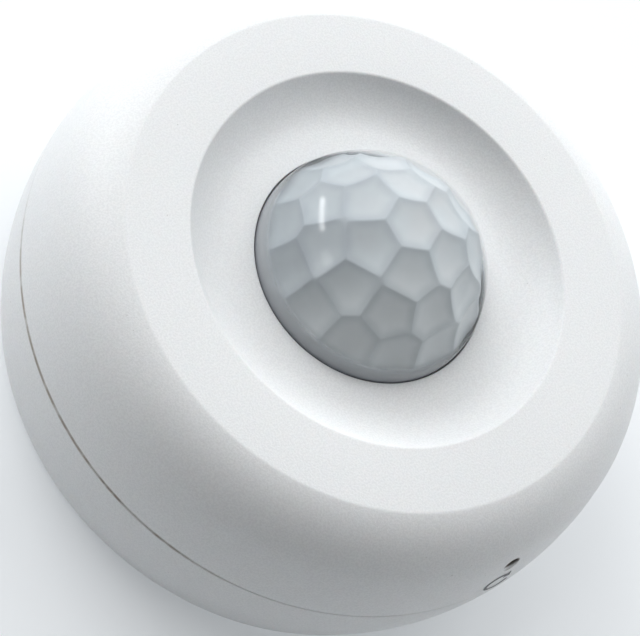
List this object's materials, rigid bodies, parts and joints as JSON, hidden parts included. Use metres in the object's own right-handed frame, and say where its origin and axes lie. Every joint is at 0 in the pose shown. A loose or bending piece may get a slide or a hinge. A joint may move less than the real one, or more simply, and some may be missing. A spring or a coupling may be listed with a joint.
{
  "type": "motion sensor",
  "caption": "Round battery-powered ceiling motion sensor with a dished front, a faceted dome lens, a lift-off cover and a twist-lock bracket.",
  "frame": {"origin": "centre of the ceiling bracket's back face, where the sensor meets the ceiling", "axes": "+Z out of the ceiling through the dome lens, -Y towards the reset pinhole"},
  "size_m": [0.094, 0.094, 0.0463],
  "materials": {
    "white_plastic": "fine spark-textured white ABS",
    "milky_lens": "milky polyethylene, smooth and glossy outside, facets inside",
    "board_green": "green solder mask on glass-epoxy board",
    "board_blue": "blue solder mask on glass-epoxy board",
    "steel": "bright zinc or nickel plated steel",
    "copper": "enamelled copper wire",
    "black_plastic": "black moulded plastic",
    "natural_plastic": "uncoloured nylon",
    "led_red": "red tinted clear resin",
    "capacitor_sleeve": "dark shrink sleeve",
    "switch_red": "red moulded plastic",
    "battery_wrap": "printed shrink wrap over a steel can",
    "lead_red": "red wire insulation",
    "lead_black": "black wire insulation"
  },
  "bodies": {
    "bracket": {"ceiling_bracket": "white_plastic"},
    "rear_unit": {"rear_housing": "white_plastic", "main_board": "board_green", "board_screw_1": "steel", "board_screw_2": "steel", "board_screw_3": "steel", "pir_sensor": "steel", "pir_window": "black_plastic", "pir_spacer": "natural_plastic", "status_led": "led_red", "radio_board": "board_blue", "radio_shield": "steel", "antenna_coil": "copper", "microcontroller": "black_plastic", "capacitor_large": "capacitor_sleeve", "capacitor_small": "capacitor_sleeve", "reset_switch": "black_plastic", "tamper_switch": "black_plastic", "dip_switch": "switch_red", "battery_holder": "black_plastic", "battery_cell": "battery_wrap", "battery_plate": "steel", "battery_spring": "steel", "battery_lead_positive": "lead_red", "battery_lead_negative": "lead_black"},
    "reset_button": {"reset_plunger": "black_plastic"},
    "tamper_button": {"tamper_plunger": "natural_plastic"},
    "dip_lever_1": {"dip_slider_1": "natural_plastic"},
    "dip_lever_2": {"dip_slider_2": "natural_plastic"},
    "cover": {"front_cover": "white_plastic", "fresnel_lens": "milky_lens", "lens_retainer": "white_plastic", "retainer_screw_1": "steel", "retainer_screw_2": "steel", "retainer_screw_3": "steel"}
  },
  "joints": [
    {"name": "bracket_twist", "type": "hinge", "parent": "bracket", "child": "rear_unit", "pos_m": [0, 0, 0], "axis": [0, 0, 1], "range_deg": [0, 20]},
    {"name": "cover_lift", "type": "slide", "parent": "rear_unit", "child": "cover", "axis": [0, 0, 1], "range_m": [0, 0.04]},
    {"name": "reset_press", "type": "slide", "parent": "rear_unit", "child": "reset_button", "axis": [0, 1, 0], "range_m": [0, 0.0003], "stiffness_N_per_m": 300, "springref_m": -0.0005},
    {"name": "tamper_release", "type": "slide", "parent": "rear_unit", "child": "tamper_button", "axis": [0, 0, 1], "range_m": [0, 0.0012]},
    {"name": "dip_slide_1", "type": "slide", "parent": "rear_unit", "child": "dip_lever_1", "axis": [1, 0, 0], "range_m": [0, 0.0012]},
    {"name": "dip_slide_2", "type": "slide", "parent": "rear_unit", "child": "dip_lever_2", "axis": [1, 0, 0], "range_m": [0, 0.0012]}
  ],
  "couplings": [
    {"joint": "tamper_release", "follows": "cover_lift", "ratio": 0.03}
  ]
}
